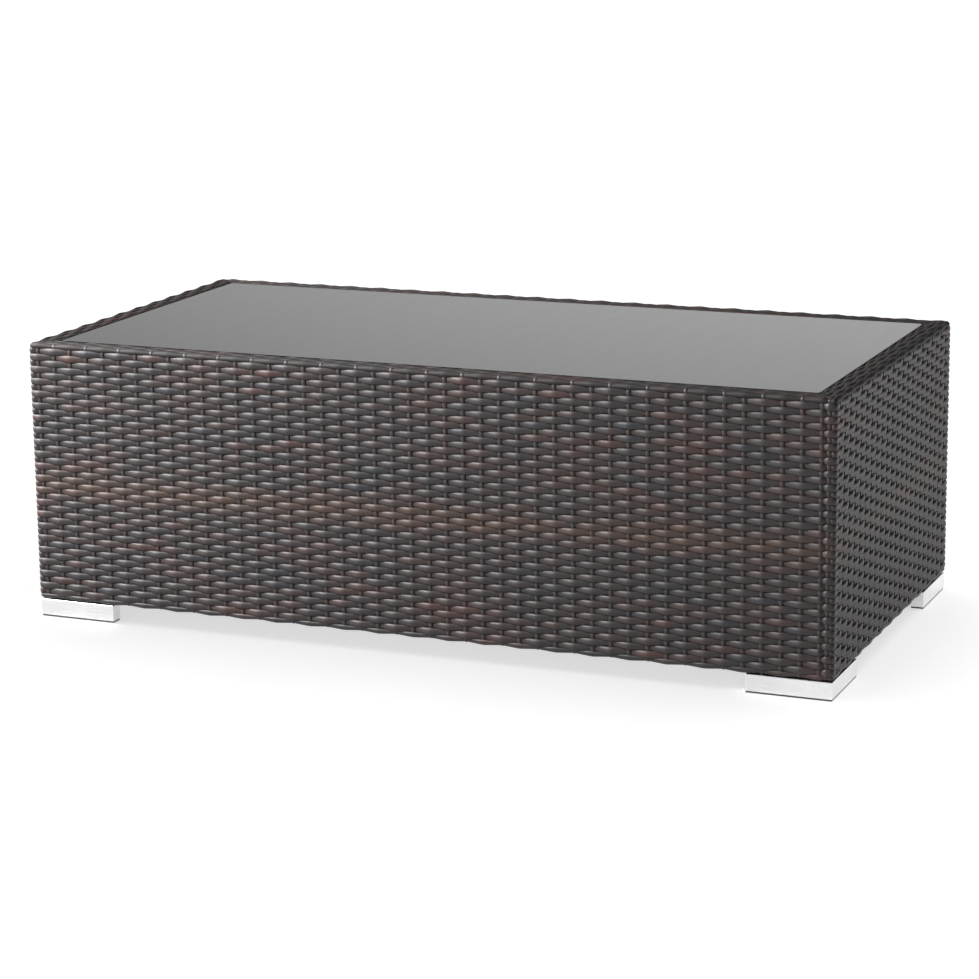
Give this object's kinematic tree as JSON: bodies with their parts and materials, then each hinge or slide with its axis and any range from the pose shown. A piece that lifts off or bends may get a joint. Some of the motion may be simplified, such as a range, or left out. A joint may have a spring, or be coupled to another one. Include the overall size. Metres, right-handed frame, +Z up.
{
  "type": "wicker coffee table",
  "caption": "Low rectangular garden coffee table: dark woven plastic box on a tube frame, flush satin glass top that lifts out, and L-shaped aluminium feet at the corners.",
  "frame": {"origin": "on the floor under the middle of the table", "axes": "+X along the table's length, -Y out of its long front face, +Z up"},
  "size_m": [1.2, 0.6, 0.406],
  "materials": {
    "woven_plastic": "satin",
    "frame_paint": "satin",
    "smoked_glass": "satin",
    "clear_pad": "satin",
    "foot_aluminium": "satin",
    "black_plastic": "matte",
    "bolt_steel": "satin"
  },
  "bodies": {
    "table_frame": {"bottom_rail_front": "frame_paint", "bottom_rail_right": "frame_paint", "bottom_rail_back": "frame_paint", "bottom_rail_left": "frame_paint", "top_rail_front": "frame_paint", "top_rail_right": "frame_paint", "top_rail_back": "frame_paint", "top_rail_left": "frame_paint", "ledge_rail_front": "frame_paint", "ledge_rail_right": "frame_paint", "ledge_rail_back": "frame_paint", "ledge_rail_left": "frame_paint", "corner_post_front_left": "frame_paint", "corner_post_front_right": "frame_paint", "corner_post_back_right": "frame_paint", "corner_post_back_left": "frame_paint", "upright_front_1": "frame_paint", "upright_front_2": "frame_paint", "upright_back_1": "frame_paint", "upright_back_2": "frame_paint", "upright_left_1": "frame_paint", "upright_right_1": "frame_paint", "cross_bar_1": "frame_paint", "cross_bar_2": "frame_paint", "weave_front": "woven_plastic", "weave_right": "woven_plastic", "weave_back": "woven_plastic", "weave_left": "woven_plastic", "rim_front": "woven_plastic", "rim_right": "woven_plastic", "rim_back": "woven_plastic", "rim_left": "woven_plastic", "hem_front": "woven_plastic", "hem_right": "woven_plastic", "hem_back": "woven_plastic", "hem_left": "woven_plastic", "weave_top": "woven_plastic", "glass_pad_front_left": "clear_pad", "glass_pad_front_middle": "clear_pad", "glass_pad_front_right": "clear_pad", "glass_pad_back_left": "clear_pad", "glass_pad_back_middle": "clear_pad", "glass_pad_back_right": "clear_pad", "foot_front_left": "foot_aluminium", "foot_front_right": "foot_aluminium", "foot_back_right": "foot_aluminium", "foot_back_left": "foot_aluminium", "glide_front_left": "black_plastic", "glide_front_right": "black_plastic", "glide_back_right": "black_plastic", "glide_back_left": "black_plastic", "foot_bolt_front_left_1": "bolt_steel", "foot_bolt_front_left_2": "bolt_steel", "foot_bolt_front_right_1": "bolt_steel", "foot_bolt_front_right_2": "bolt_steel", "foot_bolt_back_right_1": "bolt_steel", "foot_bolt_back_right_2": "bolt_steel", "foot_bolt_back_left_1": "bolt_steel", "foot_bolt_back_left_2": "bolt_steel"},
    "glass": {"glass_top": "smoked_glass"}
  },
  "joints": [
    {"name": "glass_lift", "type": "slide", "parent": "table_frame", "child": "glass", "axis": [0, 0, 1], "range_m": [0, 0.3]}
  ]
}
